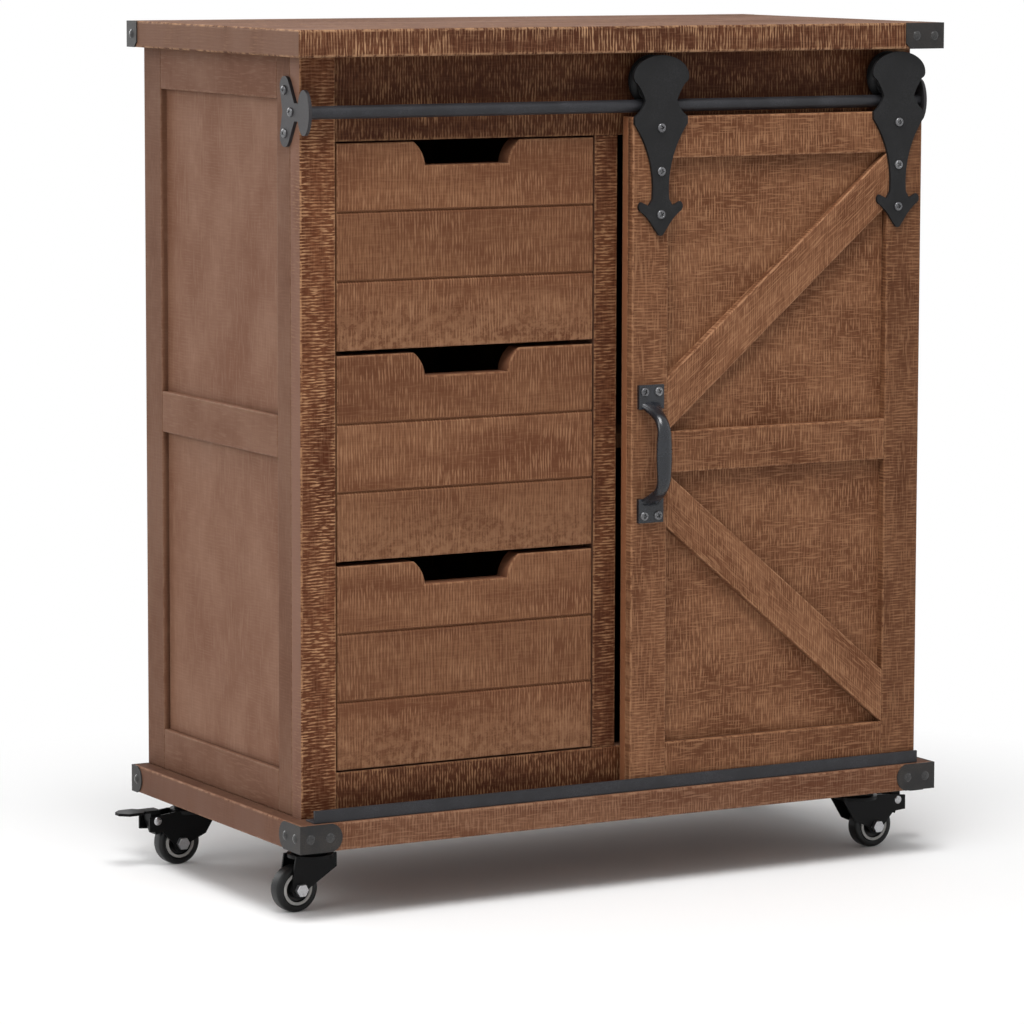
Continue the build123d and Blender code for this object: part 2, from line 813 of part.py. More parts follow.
def fork_leg_outline(braked):
    """Side view of a fork leg: a heel ahead of the king pin, the axle eye and, if braked, the pedal's ear."""
    heel_z = crown_top_z - fork_heel_height
    axle_x, axle_z = axle_place
    eye_back = (axle_x + fork_axle_radius, axle_z)
    eye_low = (axle_x, axle_z - fork_axle_radius)
    eye_side = (axle_x + fork_axle_radius * sin(radians(45)), axle_z - fork_axle_radius * cos(radians(45)))
    eye_front = (axle_x - fork_axle_radius, axle_z)
    eye_front_side = (axle_x - fork_axle_radius * sin(radians(45)), eye_side[1])
    ThreePointArc(eye_back, eye_side, eye_low)
    ThreePointArc(eye_low, eye_front_side, eye_front)
    if braked:
        knee = (-fork_knee_reach, fork_knee_height)
        Polyline(eye_front, knee, (-crown_radius, crown_under_z), (-crown_radius, crown_top_z))
        ear_end = brake_pin_reach + brake_ear_reach
        ear_low = brake_pin_height - brake_ear_drop
        ear_top = brake_pin_height + brake_barrel_radius - fork_hem
        Polyline(
            (-crown_radius, crown_top_z),
            (crown_radius, crown_top_z),
            (ear_end, ear_top),
            (ear_end, ear_low),
            (brake_pin_reach - brake_barrel_radius, ear_low - fork_hem),
            eye_back,
        )
    else:
        Polyline(eye_front, (-crown_radius, heel_z), (-crown_radius, crown_top_z))
        Polyline(
            (-crown_radius, crown_top_z),
            (crown_radius, crown_top_z),
            (crown_radius + 2 * fork_hem, heel_z),
            eye_back,
        )


fork_shapes = {}
for braked in (False, True):
    with BuildPart() as fork_shape:
        with BuildSketch(Plane.XY.offset(crown_under_z)):
            Circle(crown_radius)
        extrude(amount=crown_sheet)
        for leg_start in (fork_inner, -fork_outer):
            with BuildSketch(Plane.XZ.offset(-leg_start)):
                with BuildLine():
                    fork_leg_outline(braked)
                make_face()
                with Locations(axle_place):
                    Circle(axle_radius + shaft_clearance, mode=Mode.SUBTRACT)
                if braked:
                    with Locations((brake_pin_reach, brake_pin_height)):
                        Circle(brake_pin_radius + shaft_clearance, mode=Mode.SUBTRACT)
            extrude(amount=-fork_sheet)
        with BuildSketch(Plane.XY.offset(crown_top_z)):
            Circle(king_pin_radius + shaft_clearance)
        extrude(amount=-crown_sheet, mode=Mode.SUBTRACT)
    fork_shapes[braked] = fork_shape.part

with BuildPart() as wheel_shape:
    half_width = wheel_width / 2
    # tyre with rounded shoulders
    with BuildSketch(side_plane(caster_trail, 0, wheel_radius)):
        with BuildLine():
            Polyline(
                (half_width, wheel_radius - wheel_shoulder),
                (half_width, wheel_core_radius),
                (-half_width, wheel_core_radius),
                (-half_width, wheel_radius - wheel_shoulder),
            )
            shoulder_cut = wheel_shoulder * (1 - sin(radians(45)))
            tread_edge = half_width - wheel_shoulder
            for way in (-1, 1):
                ThreePointArc(
                    (way * half_width, wheel_radius - wheel_shoulder),
                    (way * (half_width - shoulder_cut), wheel_radius - shoulder_cut),
                    (way * tread_edge, wheel_radius),
                )
            Line((tread_edge, wheel_radius), (-tread_edge, wheel_radius))
        make_face()
    revolve(axis=Axis((caster_trail, 0, wheel_radius), (0, 1, 0)))

with BuildPart() as wheel_core_shape:
    # core with a raised rim, a sunk web and a hub
    hub_radius = axle_radius + shaft_clearance + wheel_hub_wall
    rim_inner = wheel_core_radius - joint_line - wheel_rim_width
    web_half = half_width - wheel_core_recess
    with BuildSketch(side_plane(caster_trail, 0, wheel_radius)):
        with BuildLine():
            outline = [
                (half_width, wheel_core_radius - joint_line),
                (half_width, rim_inner),
                (web_half, rim_inner - wheel_core_recess / 2),
                (web_half, hub_radius),
                (half_width, hub_radius),
                (half_width, axle_radius + shaft_clearance),
            ]
            Polyline(*outline, *[(-y, z) for y, z in reversed(outline)], close=True)
        make_face()
    revolve(axis=Axis((caster_trail, 0, wheel_radius), (0, 1, 0)))

axle_shapes = {}
for braked in (False, True):
    with BuildPart() as axle_shape:
        with Locations(Plane.XZ):
            with Locations((*axle_place, 0)):
                Cylinder(axle_radius, 2 * fork_outer)
        for way in (-1, 1):
            with BuildSketch(Plane.XZ.offset(way * fork_outer)):
                with Locations(axle_place):
                    RegularPolygon(axle_nut_across / 2, 6, major_radius=False)
            extrude(amount=way * axle_nut_height)
        if braked:
            with Locations(Plane.XZ):
                with Locations((brake_pin_reach, brake_pin_height, 0)):
                    Cylinder(brake_pin_radius, 2 * fork_outer)
            for way in (-1, 1):
                place = (brake_pin_reach, way * fork_outer, brake_pin_height)
                round_head(place, (0, way, 0), brake_barrel_radius - 1.2, brake_pin_radius / 2)
    axle_shapes[braked] = axle_shape.part

# Brake pedal: barrel on the pin, shoe towards the tread, and a pad that the foot presses down

shoe_reach = wheel_radius + brake_shoe_gap
shoe_tip = (
    caster_trail + shoe_reach * cos(radians(brake_shoe_angle)),
    wheel_radius + shoe_reach * sin(radians(brake_shoe_angle)),
)

with BuildPart() as brake_shape:
    arm_half = brake_arm_width / 2
    with BuildSketch(Plane.XZ.offset(-arm_half)):
        with BuildLine():
            Polyline(
                (brake_pin_reach - brake_barrel_radius, brake_pin_height),
                shoe_tip,
                (shoe_tip[0] + brake_shoe_width, shoe_tip[1] - 1.0),
                (brake_pin_reach + brake_barrel_radius, brake_pin_height),
                (brake_pin_reach + brake_barrel_radius, brake_pedal_height + brake_pedal_sheet),
                (brake_pin_reach - brake_barrel_radius, brake_pedal_height + brake_pedal_sheet),
                close=True,
            )
        make_face()
    extrude(amount=brake_arm_width)
    pad_start = brake_pedal_reach - brake_pedal_length
    pad_half = brake_pedal_width / 2
    with BuildSketch(Plane.XY.offset(brake_pedal_height)):
        with BuildLine():
            Polyline(
                (brake_pin_reach, -arm_half),
                (pad_start, -arm_half),
                (pad_start + brake_pedal_corner / 2, -pad_half),
                (brake_pedal_reach - brake_pedal_corner, -pad_half),
                (brake_pedal_reach, -pad_half + brake_pedal_corner),
                (brake_pedal_reach, pad_half - brake_pedal_corner),
                (brake_pedal_reach - brake_pedal_corner, pad_half),
                (pad_start + brake_pedal_corner / 2, pad_half),
                (pad_start, arm_half),
                (brake_pin_reach, arm_half),
                close=True,
            )
        make_face()
    extrude(amount=brake_pedal_sheet)
    with Locations(Plane.XZ):
        with Locations((brake_pin_reach, brake_pin_height, 0)):
            Cylinder(brake_pin_radius + shaft_clearance, 2 * brake_arm_width, mode=Mode.SUBTRACT)

# Casters in their places: pairs of trailing wheels point outwards, with brakes on one diagonal

caster_x = overall_width / 2 - caster_pivot_inset
front_pivot_y = face_y + caster_end_inset
back_pivot_y = board_back_y - caster_end_inset
braked_casters = ("front_right", "back_left")
caster_places = {}
for name, turn in caster_swivel.items():
    pivot_x = -caster_x if name.endswith("left") else caster_x
    pivot_y = front_pivot_y if name.startswith("front") else back_pivot_y
    caster_places[name] = Location((pivot_x, pivot_y, 0), (0, 0, turn))
square_places = [Location(place.position) for place in caster_places.values()]

with BuildPart() as caster_plates:
    with Locations(*square_places):
        add(caster_plate_shape.part)
save(caster_plates, "caster_plates")

with BuildPart() as caster_screws:
    with Locations(*square_places):
        add(caster_screw_shape.part)
save(caster_screws, "caster_screws")

for name, place in caster_places.items():
    braked = name in braked_casters

    with BuildPart() as fork:
        with Locations(place):
            add(fork_shapes[braked])
    save(fork, f"{name}_fork")

    with BuildPart() as axle:
        with Locations(place):
            add(axle_shapes[braked])
    save(axle, f"{name}_axle")

    with BuildPart() as wheel:
        with Locations(place):
            add(wheel_shape.part)
            add(wheel_core_shape.part)
    save(wheel, f"{name}_wheel")

    if braked:
        with BuildPart() as brake_pedal:
            with Locations(place):
                add(brake_shape.part)
        save(brake_pedal, f"{name}_brake_pedal")
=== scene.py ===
import json
from math import pi, radians

import bmesh
import bpy
import numpy as np
from mathutils import Matrix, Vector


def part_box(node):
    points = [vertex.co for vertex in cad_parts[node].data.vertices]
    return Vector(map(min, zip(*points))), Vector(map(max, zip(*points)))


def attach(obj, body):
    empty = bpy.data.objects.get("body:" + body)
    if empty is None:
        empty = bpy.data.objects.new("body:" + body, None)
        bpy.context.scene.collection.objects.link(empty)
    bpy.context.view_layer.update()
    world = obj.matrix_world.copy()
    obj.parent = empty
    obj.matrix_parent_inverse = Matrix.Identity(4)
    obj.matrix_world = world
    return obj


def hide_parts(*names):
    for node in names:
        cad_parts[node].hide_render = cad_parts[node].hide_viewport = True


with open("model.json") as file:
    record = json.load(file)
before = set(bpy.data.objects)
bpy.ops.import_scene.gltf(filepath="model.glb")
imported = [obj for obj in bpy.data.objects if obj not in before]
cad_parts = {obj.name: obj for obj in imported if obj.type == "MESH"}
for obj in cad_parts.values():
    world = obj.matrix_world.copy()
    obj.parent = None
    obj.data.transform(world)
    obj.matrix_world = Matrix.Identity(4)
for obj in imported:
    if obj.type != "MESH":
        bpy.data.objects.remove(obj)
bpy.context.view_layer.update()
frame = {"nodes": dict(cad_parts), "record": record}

# Base board: a thick slab of stained solid wood that stands on the casters and carries the carcass.
# It is sawn across its length, stained and brushed back, and its sharp edges are taken off by hand.
# Its whole upper face is darkened with painted shade, for the shade round the carcass's foot.


def stain(red, green, blue):
    """Linear colour of a stain given as it looks on a screen, 0 to 255, by the screen's own curve."""
    tone = np.array([red, green, blue]) / 255.0
    linear = np.where(tone <= 0.04045, tone / 12.92, ((tone + 0.055) / 1.055) ** 2.4)
    return (*linear, 1.0)


eased, worn = 0.0010, 0.0010
ease_turn = np.linspace(0, pi / 2, 4)


def edge_stations(length, foot, ease):
    """Stations from one edge of a board to the other: place, drop below the face, wear and side.

    Each end runs up the wall from its foot, round the eased edge as a quarter circle and over the
    worn band, and the long middle is one flat stretch between the two.
    """
    place = np.concatenate([[0, 0], ease * (1 - np.cos(ease_turn)), [ease + worn]])
    drop = np.concatenate([[foot, ease + worn], ease * (1 - np.sin(ease_turn)), [0]])
    wear = np.concatenate([[-1, 0], np.ones(len(ease_turn)), [0]])
    side = np.repeat([-1, 1], len(place))
    places = np.concatenate([place, length - place[::-1]])
    return places, np.concatenate([drop, drop[::-1]]), np.concatenate([wear, wear[::-1]]), side


def grid_quads(rows, columns, first=0):
    """Faces of a grid of points numbered row by row."""
    numbers = np.arange(rows * columns).reshape(rows, columns) + first
    corners = (numbers[:-1, :-1], numbers[1:, :-1], numbers[1:, 1:], numbers[:-1, 1:])
    return np.stack(corners, -1).reshape(-1, 4)


def board_tone(seed):
    """Tone of a board among its neighbours: a factor close to 1, from a quick sine of its seed."""
    return 1 + 0.06 * np.sin(seed * 12.9898)


grain_shift = np.array([3.1, 1.7, 1.0])


def board(corners, face, back, axis, seed, ease=eased, applied=False, slab=False, tone=1.0):
    """Board between a face and a back plane: a bilinear patch of four corners on a grid of stations.

    The first side of the corners is the board's length, and its grain follows it over the edges. Face
    and back meet in the middle of the thickness. An applied strip has a flat back and painted shade at
    its foot. Other boards' walls are planed. A slab is sawn on its long walls and half planed on top.
    """
    corners = np.array(corners, float)
    length = np.linalg.norm(corners[1] - corners[0])
    width = np.linalg.norm(corners[3] - corners[0])
    way = np.sign(back - face)
    thickness = abs(back - face)
    foot = thickness * (1 if applied else 0.5)
    s, s_drop, s_wear, s_side = edge_stations(length, foot, ease)
    t, t_drop, t_wear, t_side = edge_stations(width, foot, ease)
    u, v = np.meshgrid(s / length, t / width, indexing="ij")
    deepest = np.maximum(s_drop[:, None], t_drop)
    drop = np.where(deepest > ease, deepest, np.minimum(ease, s_drop[:, None] + t_drop))
    plan = np.stack([(1 - u) * (1 - v), u * (1 - v), u * v, (1 - u) * v], -1) @ corners
    grain = []
    for under in (False, not applied):
        along = s + s_side * np.where(under & (s_drop > 0), thickness - s_drop, s_drop)
        across = t + t_side * np.where(under & (t_drop > 0), thickness - t_drop, t_drop)
        place = np.stack(np.broadcast_arrays(along[:, None], across, 0.0), -1)
        grain.append((place + seed * grain_shift).reshape(-1, 3))
    walls = np.maximum((s_drop >= ease)[:, None], (t_drop >= ease) & (not slab)) & (not applied)
    planed = np.where(slab & (drop == 0), 0.5, walls)
    rubbed = np.maximum(s_wear[:, None], t_wear) * (drop <= ease)
    # On an applied strip the wall's foot gets -1: painted shade in the step the strip makes.
    wear = np.where(drop > ease + worn, -1.0 * applied, rubbed)
    layers = [face + way * drop, np.full(u.shape, back) if applied else back - way * drop]
    return {
        "points": np.concatenate([np.insert(plan, axis, h, axis=-1).reshape(-1, 3) for h in layers]),
        "quads": np.concatenate([grid_quads(*u.shape, first=layer * u.size) for layer in (0, 1)]),
        "grain": np.concatenate(grain),
        "edge": np.tile(wear.ravel(), 2),
        "planed": np.tile(planed.ravel(), 2),
        "tone": np.full(2 * u.size, tone * board_tone(seed)),
    }


weld_gap = 2e-6


def close_surface(mesh, smooth_below=40):
    """Weld the seams of a surface, point its faces outwards and shade it smooth but for sharp edges."""
    shell = bmesh.new()
    shell.from_mesh(mesh)
    bmesh.ops.remove_doubles(shell, verts=shell.verts, dist=weld_gap)
    bmesh.ops.dissolve_degenerate(shell, edges=shell.edges, dist=1e-7)
    bmesh.ops.recalc_face_normals(shell, faces=shell.faces)
    shell.to_mesh(mesh)
    shell.free()
    mesh.shade_smooth()
    mesh.set_sharp_from_angle(angle=radians(smooth_below))


def place_piece(name, mesh, material, slot, body, *nodes):
    """Object for a finished mesh that rides on a body and stands for its nodes."""
    piece = bpy.data.objects.new(name, mesh)
    bpy.context.scene.collection.objects.link(piece)
    mesh.materials.append(material)
    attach(piece, body)
    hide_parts(*nodes)


def wooden_piece(name, boards, material, slot, body, *nodes):
    """Boards in one object, with grain, edge wear and painted shade, planed walls and tone at each point."""
    starts = np.cumsum([0] + [len(part["points"]) for part in boards])
    quads = [(quad + start).tolist() for part, start in zip(boards, starts) for quad in part["quads"]]
    points = np.concatenate([part["points"] for part in boards])
    mesh = bpy.data.meshes.new(name)
    mesh.from_pydata(points, [], quads)
    for key in ("grain", "edge", "planed", "tone"):
        values = np.concatenate([part[key] for part in boards]).astype(np.float32)
        kind, field = ("FLOAT_VECTOR", "vector") if values.ndim == 2 else ("FLOAT", "value")
        mesh.attributes.new(key, kind, "POINT").data.foreach_set(field, values.ravel())
    close_surface(mesh)
    place_piece(name, mesh, material, slot, body, *nodes)


def add(tree, kind, settings=None, **inputs):
    """Node of a kind with its settings and inputs, by name or as i and a number; sockets are linked."""
    node = tree.nodes.new(kind)
    for key, value in (settings or {}).items():
        setattr(node, key, value)
    for key, value in inputs.items():
        numbered = key[0] == "i" and key[1:].isdigit()
        socket = node.inputs[int(key[1:]) if numbered else key.replace("_", " ")]
        if isinstance(value, bpy.types.NodeSocket):
            tree.links.new(value, socket)
        else:
            socket.default_value = value
    return node


def maths(tree, operation, *values):
    """Result of one math node."""
    inputs = {f"i{index}": value for index, value in enumerate(values)}
    return add(tree, "ShaderNodeMath", {"operation": operation}, **inputs).outputs[0]


def spread(tree, value, low, high, bottom=0.0, top=1.0):
    """Value stretched from one range to another and held inside it."""
    return add(tree, "ShaderNodeMapRange", None, i0=value, i1=low, i2=high, i3=bottom, i4=top).outputs[0]


def blend(tree, share, first, second, mode="MIX"):
    """Mix of two colours."""
    settings = {"data_type": "RGBA", "blend_type": mode}
    return add(tree, "ShaderNodeMix", settings, i0=share, i6=first, i7=second).outputs[2]


def noise(tree, vector, factors, detail=2.0, roughness=0.55):
    """Noise between 0 and 1 of a vector stretched by a factor on each axis."""
    scaled = add(tree, "ShaderNodeVectorMath", {"operation": "MULTIPLY"}, i0=vector, i1=factors)
    inputs = {"Vector": scaled.outputs[0], "Scale": 1.0, "Detail": detail, "Roughness": roughness}
    return add(tree, "ShaderNodeTexNoise", None, **inputs).outputs[0]


def new_group(name, inputs, outputs):
    """Shader node group with named sockets: its tree, its inputs and its output node's sockets."""
    kinds = {"colour": "NodeSocketColor", "value": "NodeSocketFloat", "vector": "NodeSocketVector"}
    tree = bpy.data.node_groups.new(name, "ShaderNodeTree")
    for way, sockets in (("INPUT", inputs), ("OUTPUT", outputs)):
        for label, kind in sockets.items():
            tree.interface.new_socket(label, in_out=way, socket_type=kinds[kind])
    return tree, tree.nodes.new("NodeGroupInput").outputs, tree.nodes.new("NodeGroupOutput").inputs


# The stain's look is the same on every board: pale saw strokes across the length where the stain was
# brushed off, darker cuts between them, fine fibres along it, and bare wood where an edge is rubbed.
# A darker tone of the stain is also redder.

timber, given, result = new_group(
    "stained_timber",
    {
        "Grain": "vector",
        "Edge": "value",
        "Planed": "value",
        "Tone": "value",
        "Dark": "colour",
        "Body": "colour",
        "Pale": "colour",
        "Smooth": "colour",
        "Saw": "value",
        "Stroke": "value",
        "Cloud": "vector",
        "Hatch": "value",
        "Wear": "value",
    },
    {"Color": "colour", "Roughness": "value", "Height": "value"},
)
saw_pitch = 0.0027
tear = add(timber, "ShaderNodeCombineXYZ", None, X=760.0, Y=given["Stroke"], Z=9.0).outputs[0]
along = add(timber, "ShaderNodeSeparateXYZ", None, i0=given["Grain"]).outputs["X"]
wander = maths(timber, "MULTIPLY", noise(timber, given["Grain"], (20, 6, 4), 2), 30.0)
tooth = maths(timber, "SINE", maths(timber, "MULTIPLY_ADD", along, 2 * pi / saw_pitch, wander))
torn = maths(timber, "MULTIPLY_ADD", noise(timber, given["Grain"], tear, 2, 0.5), 0.8, 0.1)
saw = maths(timber, "MULTIPLY_ADD", tooth, 0.09, torn)
patches = noise(timber, given["Grain"], (16, 55, 4), 3, 0.6)
fibres = noise(timber, given["Grain"], (30, 620, 5), 2)
lines = noise(timber, given["Grain"], (60, 640, 7), 2, 0.5)
clouds = noise(timber, given["Grain"], given["Cloud"], 4, 0.6)
rub = noise(timber, given["Grain"], (150, 150, 2), 3, 0.7)
bared = spread(timber, patches, 0.4, 0.6, 0.2)
stained = spread(timber, patches, 0.64, 0.42, 0.25)
strokes = maths(timber, "MULTIPLY", spread(timber, saw, 0.51, 0.63), bared)
cuts = maths(timber, "MULTIPLY", spread(timber, saw, 0.5, 0.37), stained)
scratches = maths(timber, "MULTIPLY", spread(timber, lines, 0.52, 0.64), stained)
ground = blend(timber, spread(timber, clouds, 0.36, 0.6), given["Dark"], given["Body"])
layers = (
    (maths(timber, "MULTIPLY", spread(timber, fibres, 0.56, 0.3), 0.3), "Dark"),
    (maths(timber, "MULTIPLY", cuts, given["Saw"]), "Dark"),
    (maths(timber, "MULTIPLY", strokes, given["Saw"]), "Pale"),
    (maths(timber, "MULTIPLY", scratches, given["Hatch"]), "Pale"),
    (maths(timber, "MULTIPLY", given["Planed"], spread(timber, clouds, 0.25, 0.5, 0.6, 0.95)), "Smooth"),
)
for share, colour in layers:
    ground = blend(timber, share, ground, given[colour])
rubbed = maths(timber, "MULTIPLY", spread(timber, given["Edge"], 0, 1), spread(timber, rub, 0.44, 0.58))
spared = maths(timber, "MULTIPLY", given["Wear"], spread(timber, given["Planed"], 0, 1, 1, 0.3))
ground = blend(timber, maths(timber, "MULTIPLY", rubbed, spared), ground, given["Pale"])
# Negative edge values are painted shade: at applied strips' feet, round drawer grooves, on the base top.
painted_shade = spread(timber, given["Edge"], 0, -1, 0, 0.85)
ground = blend(timber, painted_shade, ground, (0.22, 0.16, 0.13, 1), "MULTIPLY")
green, blue = [maths(timber, "POWER", given["Tone"], power) for power in (1.12, 1.25)]
shade = add(timber, "ShaderNodeCombineColor", None, Red=given["Tone"], Green=green, Blue=blue)
timber.links.new(blend(timber, 1.0, ground, shade.outputs[0], "MULTIPLY"), result["Color"])
timber.links.new(spread(timber, clouds, 0.3, 0.7, 0.72, 0.55), result["Roughness"])
relief = maths(timber, "MULTIPLY_ADD", saw, 0.75, maths(timber, "MULTIPLY", fibres, 0.25))
timber.links.new(relief, result["Height"])


saw_depth, wood_sheen = 0.0004, 0.14


def stained_wood(name, dark, body, pale, smooth, relief, order=None, **look):
    """Stained timber of one piece, on its boards' own grain or on Object coordinates in an order."""
    material = bpy.data.materials.new(name)
    material.use_nodes = True
    tree = material.node_tree
    surface = tree.nodes["Principled BSDF"]
    tones = {"Dark": dark, "Body": body, "Pale": pale, "Smooth": smooth}
    look.update({label: stain(*tone) for label, tone in tones.items()})
    wood = add(tree, "ShaderNodeGroup", {"node_tree": timber}, **look)
    if order is None:
        for label in ("grain", "edge", "planed", "tone"):
            kept = add(tree, "ShaderNodeAttribute", {"attribute_name": label})
            output = "Vector" if label == "grain" else "Fac"
            tree.links.new(kept.outputs[output], wood.inputs[label.title()])
    else:
        place = add(tree, "ShaderNodeTexCoord").outputs["Object"]
        place = add(tree, "ShaderNodeSeparateXYZ", None, i0=place)
        axes = {key: place.outputs[axis.upper()] for key, axis in zip("XYZ", order)}
        tree.links.new(add(tree, "ShaderNodeCombineXYZ", None, **axes).outputs[0], wood.inputs["Grain"])
    tree.links.new(wood.outputs["Color"], surface.inputs["Base Color"])
    tree.links.new(wood.outputs["Roughness"], surface.inputs["Roughness"])
    marks = {"Strength": relief, "Distance": saw_depth, "Height": wood.outputs["Height"]}
    tree.links.new(add(tree, "ShaderNodeBump", None, **marks).outputs[0], surface.inputs["Normal"])
    surface.inputs["Specular IOR Level"].default_value = wood_sheen
    return material


def rectangle(low, high, length, width):
    """Corners of a board between two limits, with its length along one axis and its width along another."""
    first = np.array([low[length], high[length], high[length], low[length]])
    second = np.array([low[width], low[width], high[width], high[width]])
    return np.stack([first, second] if length < width else [second, first], -1)


base_wood = stained_wood(
    "base_wood",
    dark=(93, 57, 38),
    body=(116, 80, 58),
    pale=(150, 114, 90),
    smooth=(106, 75, 60),
    relief=0.35,
    Saw=0.6,
    Stroke=90,
    Cloud=(5, 22, 3),
    Hatch=0.5,
    Wear=0.6,
)
slab_ease, top_face_shade = 0.0016, 0.6
low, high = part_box("base_board")
plank = board(rectangle(low, high, 0, 1), low[2], high[2], axis=2, seed=0.31, ease=slab_ease, slab=True)
# Painted shade: a negative edge value darkens the slab's whole upper face.
plank["edge"] = plank["edge"] - top_face_shade * np.isclose(plank["points"][:, 2], high[2])
wooden_piece("base_slab", [plank], base_wood, "base_wood", "cabinet", "base_board")

# Casters: black pressed-steel swivel forks on screwed plates, with zinc axle bolts.
# Two on one diagonal carry a stamped brake pedal on a pin.

pebbled, given, result = new_group(
    "pebbled_coat",
    {"Place": "vector", "Body": "colour", "Pale": "colour", "Gloss": "value"},
    {"Color": "colour", "Roughness": "value", "Height": "value"},
)
pebbles = noise(pebbled, given["Place"], (900, 900, 900), 2, 0.6)
haze = noise(pebbled, given["Place"], (38, 38, 38), 4, 0.65)
dust = maths(pebbled, "MULTIPLY", spread(pebbled, haze, 0.4, 0.75), spread(pebbled, pebbles, 0.35, 0.75))
pebbled.links.new(blend(pebbled, dust, given["Body"], given["Pale"]), result["Color"])
gloss = maths(pebbled, "ADD", given["Gloss"], spread(pebbled, haze, 0.3, 0.7, -0.07, 0.07))
pebbled.links.new(gloss, result["Roughness"])
pebbled.links.new(pebbles, result["Height"])


pebble_depth = 0.0002


def coat(name, body, pale, gloss, relief=0.12, metallic=0.0, specular=0.3):
    """Powder coat, plating or moulded plastic: a fine pebbled skin with faint clouds of dust and gloss."""
    material = bpy.data.materials.new(name)
    material.use_nodes = True
    tree = material.node_tree
    surface = tree.nodes["Principled BSDF"]
    place = add(tree, "ShaderNodeTexCoord").outputs["Object"]
    colours = {"Body": stain(*body), "Pale": stain(*pale)}
    skin = add(tree, "ShaderNodeGroup", {"node_tree": pebbled}, Place=place, Gloss=gloss, **colours)
    tree.links.new(skin.outputs["Color"], surface.inputs["Base Color"])
    tree.links.new(skin.outputs["Roughness"], surface.inputs["Roughness"])
    grit = {"Strength": relief, "Distance": pebble_depth, "Height": skin.outputs["Height"]}
    tree.links.new(add(tree, "ShaderNodeBump", None, **grit).outputs[0], surface.inputs["Normal"])
    surface.inputs["Metallic"].default_value = metallic
    surface.inputs["Specular IOR Level"].default_value = specular
    return material


def dress(node, material, ease=None):
    """Give a CAD node its finish and, for pressed or cut metal, slightly broken edges."""
    piece = frame["nodes"][node]
    for place in piece.material_slots:
        place.material = material
    if ease:
        piece.modifiers.new("seams", "WELD").merge_threshold = weld_gap
        edges = piece.modifiers.new("edges", "BEVEL")
        edges.width = ease
        edges.segments = 2
        edges.limit_method = "ANGLE"
        edges.angle_limit = radians(42)


sheet_edge, bolt_edge = 0.0004, 0.0003
fork_black = coat("fork_black", (6, 6, 7), (18, 18, 19), gloss=0.38, specular=0.13)
zinc = coat("zinc_plate", (168, 168, 170), (205, 205, 206), gloss=0.3, metallic=0.9, specular=0.5)
for corner in ("front_left", "front_right", "back_left", "back_right"):
    dress(f"{corner}_fork", fork_black, sheet_edge)
    dress(f"{corner}_axle", zinc, bolt_edge)
for corner in ("front_right", "back_left"):
    dress(f"{corner}_brake_pedal", fork_black, sheet_edge)
dress("caster_plates", fork_black, sheet_edge)
dress("caster_screws", zinc)

# Caster wheels: a black moulded tread on a plastic core, with a grey ring snapped into each face.
# Each is made of profiles carried round the axle.


def turned(profile, centre, axis, segments=72):
    """Profile of places along an axis and radii, carried once round that axis."""
    axis = np.array(axis, float) / np.linalg.norm(axis)
    first = np.cross(axis, (0, 0, 1))
    second = np.cross(axis, first)
    angle = np.linspace(0, 2 * pi, segments + 1)
    spokes = np.cos(angle)[:, None] * first + np.sin(angle)[:, None] * second
    profile = np.array(profile, float)
    ring = profile[None, :, :1] * axis + profile[None, :, 1:] * spokes[:, None, :]
    return (np.array(centre) + ring).reshape(-1, 3), grid_quads(segments + 1, len(profile))


def surface_mesh(name, surfaces, smooth_below=40):
    """One mesh of several welded surfaces."""
    starts = np.cumsum([0] + [len(points) for points, _ in surfaces])
    mesh = bpy.data.meshes.new(name)
    points = np.concatenate([points for points, _ in surfaces])
    quads = np.concatenate([quads + start for (_, quads), start in zip(surfaces, starts)])
    mesh.from_pydata(points, [], quads.tolist())
    close_surface(mesh, smooth_below)
    return mesh


def both_faces(face):
    """Closed profile from the half on one face of the wheel, mirrored to the other face."""
    face = np.array(face)
    return np.concatenate([face, face[::-1] * (-1, 1), face[:1]])


wheel_half, wheel_radius, shoulder = 0.007, 0.020, 0.003
core_radius, axle_bore = 0.0143, 0.0031
lip_depth, lip_width = 0.0004, 0.0012
hub_face, dish = wheel_half - 0.0002, wheel_half - 0.0022
ring_seat, ring_face, ring_slope = 0.0067, 0.0073, 0.0002
ring_inner, ring_outer = 0.0112, 0.0139
turn = np.linspace(0, pi / 2, 7)
round_shoulder = np.stack(
    [wheel_half - shoulder * (1 - np.cos(turn)), wheel_radius - shoulder * (1 - np.sin(turn))], -1
)
lip_places = wheel_half - lip_depth * np.array([0, 1, 0])
lip = np.stack([lip_places, core_radius + lip_width * np.array([0, 0.5, 1])], -1)
tread_profile = both_faces(np.concatenate([lip, round_shoulder]))
core_profile = both_faces(
    [
        (dish, axle_bore),
        (hub_face, axle_bore),
        (hub_face, axle_bore + 0.0030),
        (hub_face - 0.0004, axle_bore + 0.0036),
        (dish, axle_bore + 0.0042),
        (dish, core_radius - 0.0040),
        (hub_face - 0.0008, core_radius - 0.0032),
        (hub_face, core_radius - 0.0028),
        (hub_face, core_radius - 0.0001),
    ]
)
ring_profile = np.array(
    [
        (ring_seat, ring_outer),
        (ring_face, ring_outer - ring_slope),
        (ring_face, ring_inner + ring_slope),
        (ring_seat, ring_inner),
        (ring_seat, ring_outer),
    ]
)
tread_rubber = coat("tread_rubber", (13, 13, 14), (32, 32, 32), gloss=0.42)
core_plastic = coat("core_plastic", (14, 14, 15), (30, 30, 30), gloss=0.32, relief=0.05)
ring_grey = coat("ring_grey", (165, 163, 160), (186, 184, 182), gloss=0.42, relief=0.05)
